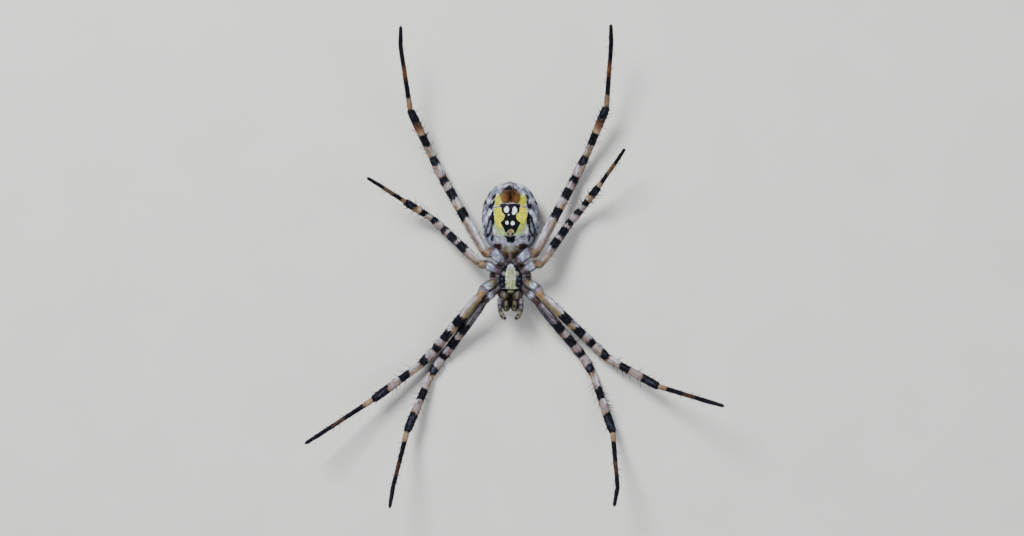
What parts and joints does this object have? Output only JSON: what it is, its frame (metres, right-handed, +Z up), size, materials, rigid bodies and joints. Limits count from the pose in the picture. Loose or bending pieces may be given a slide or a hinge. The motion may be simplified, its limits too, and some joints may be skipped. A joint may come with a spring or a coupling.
{
  "type": "banded garden spider model",
  "caption": "Life-size still model of a female banded orb weaver spider on its back, belly up, with its banded legs spread as on its web.",
  "frame": {"origin": "middle of the footprint (bounding box in plan), on the floor the spider lies on", "axes": "+Z up, which is the way the belly faces; -Y the way the head points; +X the spider's own right side"},
  "size_m": [0.0484, 0.0556, 0.0096],
  "materials": {
    "abdomen": "soft skin with silver, yellow, black and white markings under short silvery hair",
    "carapace": "grey-brown shield under flat silvery hair",
    "underside_plate": "dark satin plates with a pale yellow-green stripe, olive-brown jaws",
    "leg": "pale pinkish tan with black bands, orange-brown rings, fine hair and black spines",
    "spinneret": "satin orange-brown",
    "eye": "glossy near-black lens",
    "fang": "glossy dark red-brown horn"
  },
  "bodies": {
    "root": {"abdomen": "abdomen", "carapace": "carapace", "chelicera_left": "underside_plate", "chelicera_right": "underside_plate", "endite_left": "underside_plate", "endite_right": "underside_plate", "epigyne": "abdomen", "eye_back_middle_left": "eye", "eye_back_middle_right": "eye", "eye_back_side_left": "eye", "eye_back_side_right": "eye", "eye_front_middle_left": "eye", "eye_front_middle_right": "eye", "eye_front_side_left": "eye", "eye_front_side_right": "eye", "fang_left": "fang", "fang_right": "fang", "labium": "underside_plate", "leg_1_left_coxa": "leg", "leg_1_left_femur": "leg", "leg_1_left_foot": "leg", "leg_1_left_tibia": "leg", "leg_1_right_coxa": "leg", "leg_1_right_femur": "leg", "leg_1_right_foot": "leg", "leg_1_right_tibia": "leg", "leg_2_left_coxa": "leg", "leg_2_left_femur": "leg", "leg_2_left_foot": "leg", "leg_2_left_tibia": "leg", "leg_2_right_coxa": "leg", "leg_2_right_femur": "leg", "leg_2_right_foot": "leg", "leg_2_right_tibia": "leg", "leg_3_left_coxa": "leg", "leg_3_left_femur": "leg", "leg_3_left_foot": "leg", "leg_3_left_tibia": "leg", "leg_3_right_coxa": "leg", "leg_3_right_femur": "leg", "leg_3_right_foot": "leg", "leg_3_right_tibia": "leg", "leg_4_left_coxa": "leg", "leg_4_left_femur": "leg", "leg_4_left_foot": "leg", "leg_4_left_tibia": "leg", "leg_4_right_coxa": "leg", "leg_4_right_femur": "leg", "leg_4_right_foot": "leg", "leg_4_right_tibia": "leg", "palp_left": "leg", "palp_right": "leg", "pedicel": "abdomen", "spinneret_left": "spinneret", "spinneret_right": "spinneret", "sternum": "underside_plate"}
  },
  "joints": []
}
